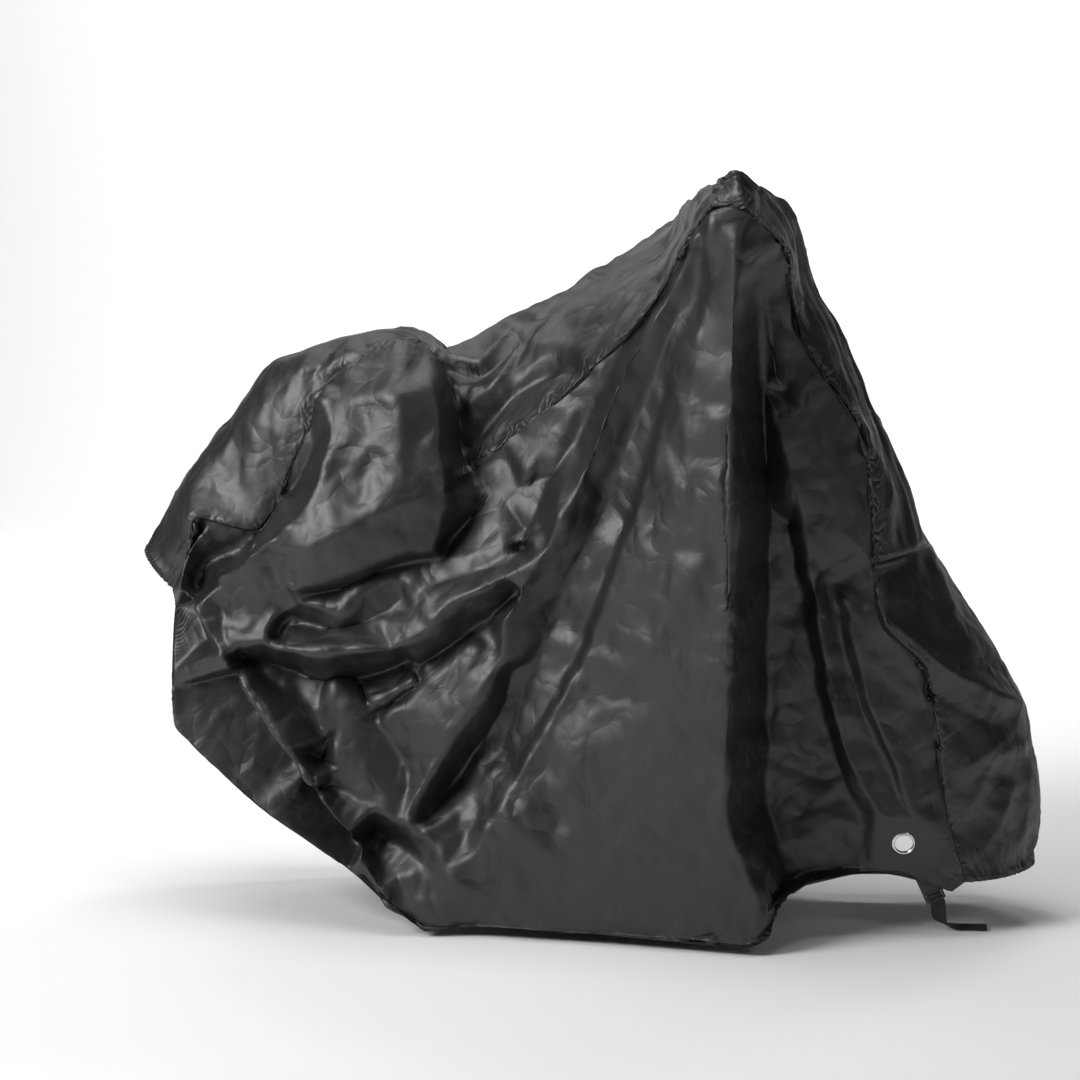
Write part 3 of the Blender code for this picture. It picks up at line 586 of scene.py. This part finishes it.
def facets(grid, first, second, seed, size, height):
    """Flat facets with sharp edges, as of crumpled taffeta, over two measures of a panel."""
    chance = np.random.default_rng(seed)
    corners, turned = chance.uniform(-1, 1, (64, 64)), chance.random((64, 64)) < 0.5
    first = first / size + 0.45 * grain(grid, size * 1.6, seed) + 20
    second = second / size + 0.45 * grain(grid, size * 1.6, seed + 1) + 20
    column, row = np.floor(first).astype(int), np.floor(second).astype(int)
    ahead, beside = first - column, second - row
    turn = turned[column % 64, row % 64]
    near, far = column + turn, column + 1 - turn
    ahead = np.where(turn, 1 - ahead, ahead)
    start, end = corners[near % 64, row % 64], corners[far % 64, row % 64]
    over, last = corners[near % 64, (row + 1) % 64], corners[far % 64, (row + 1) % 64]
    lower = start + ahead * (end - start) + beside * (over - start)
    upper = last + (1 - ahead) * (over - last) + (1 - beside) * (end - last)
    return height * np.where(ahead + beside < 1, lower, upper)


def crumpled(grid, first, second, seed, scale=1.0):
    """Facets of three sizes, each turned a little from the last."""
    lift = facets(grid, first, second * 0.5, seed, size=95.0, height=7.5)
    lift += facets(
        grid, first + 0.5 * second, second - 0.5 * first, seed + 3, size=52.0, height=4.2
    )
    lift += facets(
        grid, first - 0.3 * second, second + 0.3 * first, seed + 6, size=26.0, height=1.8
    )
    return lift * scale


def pressed(grid, rows):
    """Folds along lines of a panel that faces up or forward, on its near half, by along and up."""
    spots, lift = grid[:, :, [0, 2]].reshape(-1, 2), np.zeros(grid[:, :, 0].size)
    half = grid.shape[1] // 2
    near_half = np.repeat((np.arange(grid.shape[1]) <= half + 4)[None, :], len(grid), 0).ravel()
    for _, rise, left, right, *line in rows:
        points = spread(line, 4.0)
        apart = np.linalg.norm(spots[:, None, :] - points[None], axis=2)
        nearest = apart.argmin(axis=1)
        ahead = np.gradient(points, axis=0)[nearest]
        away = spots - points[nearest]
        beyond = ahead[:, 0] * away[:, 1] - ahead[:, 1] * away[:, 0] > 0
        share = nearest / (len(points) - 1)
        tapered = np.clip(np.minimum(share, 1 - share) * 5 + 0.25, 0, 1)
        lift += rise * tapered * faded(apart.min(axis=1), np.where(beyond, left, right)) * near_half
    return lift.reshape(grid.shape[:2])


def nicks(grid, seed, number):
    """Short crisp creases, scattered over a panel."""
    chance = np.random.default_rng(seed)
    lift = np.zeros(grid.shape[:2])
    flat = grid.reshape(-1, 3)
    along = np.gradient(grid, axis=0).reshape(-1, 3)
    across = np.gradient(grid, axis=1).reshape(-1, 3)
    for _ in range(number):
        start = chance.integers(len(flat))
        first = along[start] / max(np.linalg.norm(along[start]), 1e-6)
        second = across[start] / max(np.linalg.norm(across[start]), 1e-6)
        turn = chance.normal(math.pi / 2, 0.7)
        long_way = first * math.cos(turn) + second * math.sin(turn)
        short_way = second * math.cos(turn) - first * math.sin(turn)
        half, thick = chance.uniform(*NICK_REACH), chance.uniform(*NICK_WIDTH)
        rise = chance.uniform(*NICK_HEIGHT) * chance.choice([-1, 1])
        bend = chance.normal(0, 0.25) / half
        away = flat - flat[start]
        close = np.linalg.norm(away, axis=1) < half * 1.3
        ahead, beside = away[close] @ long_way, away[close] @ short_way
        ends = np.clip(1 - (ahead / half) ** 2, 0, 1) ** 2
        lift.reshape(-1)[close] += rise * ends * faded(beside - bend * ahead**2, thick)
    return lift


def pushed(grid, lift):
    """The places of a grid, moved outward."""
    return grid + normals_of(grid) * lift[:, :, None]


def side_grid(hem, seam, bow, rows, heights, side):
    """Rows of places from the hem up to the seam, by column."""
    share = rows[None, :, None]
    grid = hem[:, None, :] * share + seam[:, None, :] * (1 - share)
    grid[:, :, 0] += bow[:, None] * 4 * rows * (1 - rows)
    inside = grid[:, 1:-1]
    inside[:, :, 1] = side * heights(inside[:, :, 0], inside[:, :, 2])
    return grid


def strip_half(seam, crown, roundness, rows):
    """The top strip from a seam (row 0) up to the crown (row 1), by column."""
    share = rows[None, :, None]
    straight = seam[:, None, :] * (1 - share) + crown[:, None, :] * share
    rounded = seam[:, None, :] + (crown - seam)[:, None, :] * np.sin(share * math.pi / 2)
    rounded[:, :, 1] = crown[:, None, 1] + (seam - crown)[:, None, 1] * np.cos(rows * math.pi / 2)
    full = roundness[:, None, None]
    return straight * (1 - full) + rounded * full


def pinned(values):
    """Values of a grid, with none at its edges."""
    values[[0, -1], :] = 0.0
    values[:, [0, -1]] = 0.0
    return values


def sewn_by(grid, seam_first):
    """How far every place of a side is from its seam, along its nearest edge, and from its hem."""
    run = lengths(grid, 0)
    to_first, to_last = lengths(grid, 1), lengths(grid[:, ::-1], 1)[:, ::-1]
    to_seam, to_hem = (to_first, to_last) if seam_first else (to_last, to_first)
    seam_run, hem_run = (run[:, [0]], run[:, [-1]]) if seam_first else (run[:, [-1]], run[:, [0]])
    nearest = np.where(to_hem < to_seam, hem_run, seam_run)
    return np.stack([to_seam, nearest, to_hem], axis=2) * MM


def normals_of(grid):
    """Outward directions of a grid of places."""
    faces = np.cross(grid[1:, 1:] - grid[:-1, :-1], grid[:-1, 1:] - grid[1:, :-1])
    faces /= np.maximum(np.linalg.norm(faces, axis=2, keepdims=True), 1e-9)
    faces = np.pad(faces, ((1, 1), (1, 1), (0, 0)), mode="edge")
    outward = faces[:-1, :-1] + faces[1:, :-1] + faces[:-1, 1:] + faces[1:, 1:]
    return outward / np.maximum(np.linalg.norm(outward, axis=2, keepdims=True), 1e-9)


def smoothed(values, rounds):
    """Values of a grid, each drawn towards its neighbours."""
    values = values.copy()
    for _ in range(rounds):
        values[1:-1] = (values[:-2] + 2 * values[1:-1] + values[2:]) / 4
        values[:, 1:-1] = (values[:, :-2] + 2 * values[:, 1:-1] + values[:, 2:]) / 4
    return values


def from_table(point):
    """Millimetres of the tables to metres from the origin."""
    return Vector((np.asarray(point, float) - ORIGIN) * MM)


# --- Pieces -------------------------------------------------------------------------------------


def put(name, shape, finish=None):
    """A bmesh as a named, smoothly shaded piece."""
    mesh = bpy.data.meshes.new(name)
    shape.to_mesh(mesh)
    shape.free()
    if finish:
        mesh.materials.append(finish)
    mesh.shade_smooth()
    piece = bpy.data.objects.new(name, mesh)
    bpy.context.scene.collection.objects.link(piece)
    return piece


def cloth_sheet(name, grid, finish, sewing):
    """One panel as an open sheet, facing out, with a UV map in metres along and across the cloth.

    sewing holds, for every place, how far it is from the seam, how far along the nearest edge, and
    how far from the hem.
    """
    columns, rows = grid.shape[:2]
    shape = bmesh.new()
    bmesh.ops.create_grid(shape, x_segments=columns - 1, y_segments=rows - 1, size=0.5)
    along, across = lengths(grid, 0) * MM, lengths(grid, 1) * MM
    cloth_map = shape.loops.layers.uv.new("UVMap")
    sewn = shape.verts.layers.float_vector.new("sewing")
    places = (grid - ORIGIN) * MM
    for vertex in shape.verts:
        at = round((vertex.co.x + 0.5) * (columns - 1)), round((vertex.co.y + 0.5) * (rows - 1))
        vertex.co = places[at]
        vertex[sewn] = sewing[at]
        for loop in vertex.link_loops:
            loop[cloth_map].uv = (along[at[0], rows // 2], across[at])
    return put(name, shape, finish)


def thicken(piece):
    """Gives a panel the cloth's thickness, inwards."""
    wall = piece.modifiers.new("wall", "SOLIDIFY")
    wall.thickness = CLOTH * MM
    wall.offset = -1.0


def apply_modifiers(piece):
    """Makes what a piece's modifiers do part of its mesh."""
    graph = bpy.context.evaluated_depsgraph_get()
    made = bpy.data.meshes.new_from_object(piece.evaluated_get(graph), depsgraph=graph)
    made.name = piece.name
    old = piece.data
    piece.modifiers.clear()
    piece.data = made
    bpy.data.meshes.remove(old)


class Sum:
    """A number in a material, with Python's operators for its Math nodes."""

    def __init__(self, finish, socket):
        self.finish, self.socket = finish, socket

    def maths(self, operation, other, swap=False):
        pair = (other, self) if swap else (self, other)
        return self.finish.node("ShaderNodeMath", {"operation": operation}, dict(enumerate(pair)))

    def __add__(self, other):
        return self.maths("ADD", other)

    __radd__ = __add__

    def __sub__(self, other):
        return self.maths("SUBTRACT", other)

    def __rsub__(self, other):
        return self.maths("SUBTRACT", other, True)

    def __mul__(self, other):
        return self.maths("MULTIPLY", other)

    __rmul__ = __mul__

    def size(self):
        return self.maths("ABSOLUTE", 0.0)

    def wave(self):
        return self.maths("SINE", 0.0)

    def grown(self):
        return self.maths("EXPONENT", 0.0)

    def over(self, limit):
        return self.maths("GREATER_THAN", limit)


class Finish:
    """A material under construction."""

    def __init__(self, name, colour=(0.0, 0.0, 0.0), metallic=0.0):
        self.material = bpy.data.materials.new(name)
        self.material.use_nodes = True
        self.tree = self.material.node_tree
        self.shader = self.tree.nodes["Principled BSDF"]
        self.set(**{"Base Color": (*colour, 1.0), "Metallic": metallic})

    def plug(self, socket, value):
        if isinstance(value, Sum):
            self.tree.links.new(value.socket, socket)
        else:
            socket.default_value = value

    def set(self, **values):
        for name, value in values.items():
            self.plug(self.shader.inputs[name], value)

    def node(self, kind, settings, values, output=0):
        """A node: its settings first, then the values or links of its sockets."""
        made = self.tree.nodes.new(kind)
        for name, value in settings.items():
            setattr(made, name, value)
        for name, value in values.items():
            self.plug(made.inputs[name], value)
        return Sum(self, made.outputs[output])

    def where(self, kind, scale=(1.0, 1.0, 1.0)):
        """Places by a piece's Object coordinates or by its UV map."""
        spot = self.node("ShaderNodeTexCoord", {}, {}, kind)
        return self.node("ShaderNodeMapping", {}, {"Vector": spot, "Scale": scale})

    def noise(self, vector, scale, detail=2.0, roughness=0.5, output=0):
        values = {"Vector": vector, "Scale": scale, "Detail": detail, "Roughness": roughness}
        return self.node("ShaderNodeTexNoise", {}, values, output)

    def bump(self, height, distance, strength=1.0, under=None):
        values = {"Height": height, "Distance": distance, "Strength": strength}
        if under:
            values["Normal"] = under
        return self.node("ShaderNodeBump", {}, values)

    def mix(self, factor, first, second):
        """A colour between two, on the Mix node's colour sockets."""
        values = {0: factor, 6: (*first, 1.0), 7: (*second, 1.0)}
        return self.node("ShaderNodeMix", {"data_type": "RGBA"}, values, 2)


def taffeta():
    """Black cloth with a woven sheen, fine crinkle, puckered seams, gathers and stitches."""
    finish = Finish("black_taffeta")
    finish.set(**{"Specular IOR Level": 0.75})
    spot = finish.where("Object")
    blotch = finish.noise(spot, 9.0, 4.0, 0.6)
    finish.set(**{
        "Base Color": finish.mix(blotch, (0.0055, 0.0053, 0.0062), (0.0105, 0.0101, 0.0115)),
        "Roughness": 0.41 + 0.14 * blotch,
    })
    threads = finish.noise(finish.where("UV", (1400.0, 200.0, 1.0)), 1.0, 2.0)
    cross = finish.noise(finish.where("UV", (200.0, 1400.0, 1.0)), 1.0, 2.0)
    bump = finish.bump(threads + cross, 0.00008, 0.6)
    patches = finish.noise(spot, 7.0, 2.0)
    warp = finish.noise(spot, 14.0, 2.0, output=1)
    bent = finish.node(
        "ShaderNodeVectorMath", {"operation": "MULTIPLY_ADD"}, {0: warp, 1: (0.03,) * 3, 2: spot}
    )
    first, second = (
        finish.node("ShaderNodeTexVoronoi", {"feature": way}, {"Vector": bent, "Scale": 21.0})
        for way in ("F1", "F2")
    )
    crease = (finish.noise(bent, 13.0, 1.0) - 0.5).size()
    bump = finish.bump(((second - first) * 0.6 + crease * 3.0) * patches, 0.0055, 1.0, bump)
    sewn = finish.node("ShaderNodeAttribute", {"attribute_name": "sewing"}, {}, "Vector")
    seam, run, hem = (finish.node("ShaderNodeSeparateXYZ", {}, {0: sewn}, way) for way in "XYZ")
    wander = finish.noise(spot, 22.0, 2.0)
    waves = (run * 190.0 + wander * 40.0).wave()
    puckers = waves * wander * (seam * -75.0).grown() * (0.3 + (run - 0.6).over(0.0) * 0.5)
    gathers = (run * 520.0 + wander * 12.0).wave() * (hem * -75.0).grown() * 0.5
    groove = (seam * -420.0).grown() + ((hem - 0.012).size() * -900.0).grown() * 0.35
    stitch = (run * 2100.0).wave().over(-0.2) * ((seam - 0.0035).size() * -1500.0).grown()
    sewn_work = puckers + gathers - groove * 0.35 + stitch * 0.06
    finish.set(Normal=finish.bump(sewn_work, 0.005, 1.0, bump))
    return finish.material


def nickel():
    """Slightly worn metal of the eyelet."""
    finish = Finish("nickel", (0.74, 0.73, 0.70), 1.0)
    worn = finish.noise(finish.where("Object"), 260.0, 3.0)
    finish.set(Roughness=0.14 + 0.2 * worn)
    finish.set(Normal=finish.bump(worn, 0.0002, 0.3))
    return finish.material


def moulded():
    """Fine-grained plastic of the buckle."""
    finish = Finish("black_plastic", (0.028, 0.028, 0.029))
    grain = finish.noise(finish.where("Object"), 900.0, 2.0)
    finish.set(Roughness=0.38 + 0.16 * grain)
    finish.set(Normal=finish.bump(grain, 0.0001, 0.4))
    return finish.material


def woven_webbing():
    """Dark webbing. Its ribs and fuzz follow a UV map, which the strap and the tab don't have, so
    they show as one plain colour."""
    finish = Finish("black_webbing")
    finish.set(Roughness=0.75)
    ribs = finish.node("ShaderNodeTexWave", {"bands_direction": "X"}, {
        "Vector": finish.where("UV"), "Scale": 160.0, "Distortion": 0.6,
    }, 1)
    fuzz = finish.noise(finish.where("UV"), 600.0, 3.0)
    finish.set(**{"Base Color": finish.mix(fuzz, (0.008, 0.008, 0.009), (0.020, 0.020, 0.022))})
    finish.set(Normal=finish.bump(ribs + fuzz, 0.0004, 0.7))
    return finish.material


# --- The cover ----------------------------------------------------------------------------------


def near_side(finish):
    """The near panel, and how far it stands out before its small creases."""
    at = column_places(NEAR_SIZE[0])
    hem, seam = (through([row[k] for row in SECTIONS], at) for k in (3, 4))
    bow = through([[row[2]] for row in SECTIONS], at)[:, 0]
    stretched = side_surface(NEAR_FOLDS, hem, seam, -1, NEAR_DRAWN)

    def heights(along, up):
        return flattened(stretched, along, up)

    rows = shares(NEAR_SIZE[1], 8, 10)
    grid = side_grid(hem, seam, bow, 1 - rows, heights, -1)
    grid = evened(grid, heights, -1, (np.linspace(0, 1, NEAR_SIZE[0] + 1), rows))
    along, up = grid[:, :, 0], grid[:, :, 2]

    # The skirt behind the crest and the rear flap are drawn tight, so they crumple less.
    skirt = np.clip((along - (0.62 * up - 60)) / 60, 0, 1) * np.clip((380 - along) / 40, 0, 1)
    flap = np.clip((-0.81 * (along + 465) - 0.59 * (up - 440)) / 30, 0, 1)
    calm = np.maximum(skirt, flap * np.clip((600 - up) / 60, 0, 1))
    # The cloth round the eyelet and at the narrow rear does so too, and nothing moves at an edge.
    from_eyelet = np.hypot(along - EYELET_AT[0], up - EYELET_AT[1])
    flat = np.clip((EYELET_FLAT[1] - from_eyelet) / (EYELET_FLAT[1] - EYELET_FLAT[0]), 0, 1)
    free = pinned((1 - flat) * np.clip(lengths(grid, 1)[:, [-1]] / 260 - 0.3, 0, 1))
    rough = (1 - 0.75 * calm) * smoothed(free, 3)

    grid = pushed(grid, crumpled(grid, along, up, 1, 1.2) * rough)
    sewing = sewn_by(grid, seam_first=False)
    grid = pushed(grid, nicks(grid, 5, 380) * smoothed(free, 3) * (1 - 0.3 * calm))
    return cloth_sheet("near_side_cloth", grid, finish, sewing), heights


def top_pieces(finish):
    """The strip over the top, in two pieces at the cross seam."""
    made = []
    for name, first, last, count in (
        ("top_strip_cloth", 0, section("cross seam"), STRIP_LENGTH),
        ("front_panel_cloth", section("cross seam"), None, FRONT_LENGTH),
    ):
        at = column_places(count, first, last)
        seam, crown, far_seam = (through([row[k] for row in SECTIONS], at) for k in (4, 5, 6))
        roundness = through([[row[1]] for row in SECTIONS], at)[:, 0]
        rows = shares(STRIP_ROWS, 6, 0)
        near_half = strip_half(seam, crown, roundness, rows)
        far_half = strip_half(far_seam, crown, roundness, rows)[:, ::-1]
        grid = np.concatenate([near_half, far_half[:, 1:]], axis=1)
        run, over = lengths(grid, 0), lengths(grid, 1)
        to_seam = np.minimum(over, over[:, [-1]] - over)
        free = smoothed(pinned(np.ones(grid.shape[:2])), 3)
        lift = crumpled(grid, over, run, 3, 0.9) + pressed(grid, TOP_FOLDS)
        grid = pushed(grid, lift * free)
        end = run if first == 0 else run[[-1]] - run
        far_away = np.full_like(run, 1000.0)  # these panels have no stitched side hem
        sewing = np.stack([to_seam, run, far_away], axis=2) * MM
        turn = over * 2 * math.pi / PLEAT_STEP + 14 * grain(grid, 60.0, 7)
        pleats = np.cos(turn) * PLEAT_HEIGHT * faded(end, PLEAT_REACH)
        grid = pushed(grid, pleats * np.clip(to_seam / 12, 0, 1) + nicks(grid, 6, count) * free)
        made.append(cloth_sheet(name, grid, finish, sewing))
    return made


def far_side(finish):
    """The panel away from the camera, finished plainly."""
    at = column_places(FAR_SIZE[0])
    far_seam, far_hem = (through([row[k] for row in SECTIONS], at) for k in (6, 7))
    heights = side_surface(FAR_FOLDS, far_hem, far_seam, 1, FAR_DRAWN)
    rows = shares(FAR_SIZE[1], 6, 4)
    grid = side_grid(far_hem, far_seam, 0 * at, rows, heights, 1)
    grid = evened(grid, heights, 1, (np.linspace(0, 1, FAR_SIZE[0] + 1), rows))
    free = pinned(np.ones(grid.shape[:2]))
    lift = crumpled(grid, grid[:, :, 0], grid[:, :, 2], 9)
    grid = pushed(grid, lift * smoothed(free, 3))
    sewing = sewn_by(grid, seam_first=True)
    grid = pushed(grid, nicks(grid, 8, 160) * smoothed(free, 2))
    return cloth_sheet("far_side_cloth", grid, finish, sewing)


def eyelet_hole(piece, heights):
    """Cuts the eyelet's hole through the cloth."""
    east, north = np.array([EYELET_AT[0]]), np.array([EYELET_AT[1]])
    middle = heights(east, north)[0]
    step = 5
    along, up = heights(east + step, north)[0], heights(east, north + step)[0]
    slope = Vector((along - middle, 0, up - middle)) / step
    outward = Vector((-slope.x, -1.0, -slope.z)).normalized()
    turn = outward.to_track_quat("Z", "Y").to_matrix().to_4x4()
    turn.translation = from_table((EYELET_AT[0], -middle, EYELET_AT[1]))
    shape = bmesh.new()
    radius = (EYELET_HOLE + 1) * MM
    bmesh.ops.create_cone(
        shape, cap_ends=True, segments=64, depth=30 * MM, radius1=radius, radius2=radius
    )
    bmesh.ops.transform(shape, matrix=turn, verts=shape.verts[:])
    cutter = put("eyelet_cutter", shape)
    cut = piece.modifiers.new("hole", "BOOLEAN")
    cut.operation, cut.solver, cut.object = "DIFFERENCE", "EXACT", cutter
    apply_modifiers(piece)
    bpy.data.objects.remove(cutter)


def studio():
    """A sheet of white paper that curves up behind the cover, the lights, and the camera."""
    shape = bmesh.new()
    bmesh.ops.create_grid(shape, x_segments=1, y_segments=60, size=1.0)
    half_width, half_length, middle = 9.0, 8.5, 2.0
    bend, start = 2.2, 5.4  # the curve's radius, and where it begins
    for vertex in shape.verts:
        along = vertex.co.y * half_length + middle
        vertex.co.x *= half_width
        turn = min(max(along - start, 0.0) / bend, math.pi / 2)
        rest = max(along - start - bend * math.pi / 2, 0.0)
        vertex.co.y = min(along, start) + bend * math.sin(turn)
        vertex.co.z = FLOOR + bend * (1 - math.cos(turn)) + rest
    paper = Finish("studio_paper", (0.93, 0.93, 0.935))
    paper.set(Roughness=0.9)
    floor = put("studio_floor", shape, paper.material)

    for name, spot, aim, size, power in LIGHTS:
        light = bpy.data.lights.new(name, "AREA")
        light.shape, light.size, light.size_y = "RECTANGLE", size[0], size[1]
        light.energy = power
        holder = bpy.data.objects.new(name, light)
        holder.location = spot
        holder.rotation_euler = (Vector(aim) - Vector(spot)).to_track_quat("-Z", "Y").to_euler()
        bpy.context.scene.collection.objects.link(holder)
    world = bpy.data.worlds.new("studio")
    world.use_nodes = True
    sky = world.node_tree.nodes["Background"]
    sky.inputs["Color"].default_value = (1.0, 1.0, 1.0, 1.0)
    sky.inputs["Strength"].default_value = 0.04
    bpy.context.scene.world = world
    bpy.context.scene.view_settings.view_transform = "Standard"

    lens = bpy.data.cameras.new("camera")
    lens.lens, lens.sensor_width, lens.clip_end = CAMERA_LENS, 36.0, 60.0
    camera = bpy.data.objects.new("camera", lens)
    camera.location = from_table(CAMERA_AT)
    camera.rotation_euler = (math.radians(90 - CAMERA_PITCH), 0.0, math.radians(CAMERA_YAW))
    bpy.context.scene.collection.objects.link(camera)
    bpy.context.scene.camera = camera


def build():
    """The whole cover: panels, and the solids' finishes."""
    cloth, metal, plastic, webbing = taffeta(), nickel(), moulded(), woven_webbing()
    studio()

    near, heights = near_side(cloth)
    eyelet_hole(near, heights)
    strip, front = top_pieces(cloth)
    far = far_side(cloth)
    # The sides are one cut, mirrored: its length along the hem, its height at the peak, and the
    # mean of the two sides' areas. The strip's are its length along the seam, its width at the
    # peak, and its own area. Each row: the piece, what it stands for, flat size and area.
    panels = (
        (near, ("side_panel_near", "hem_band_near"), (1.75, 1.2), 1.4),
        (strip, ("top_strip",), (2.3, 0.67), 0.92),
        (front, ("front_panel",), (0.6, 0.42), 0.252),
        (far, ("side_panel_far",), (1.75, 1.2), 1.4),
    )
    for piece, nodes, flat, area in panels:
        thicken(piece)
        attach(piece, "root")
        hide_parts(*nodes)
    for node, finish in (
        ("eyelet", metal), ("buckle_socket", plastic), ("buckle_plug", plastic),
        ("hem_tab", webbing), ("strap_tail", webbing),
    ):
        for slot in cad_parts[node].material_slots:
            slot.material = finish
    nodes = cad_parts


build()
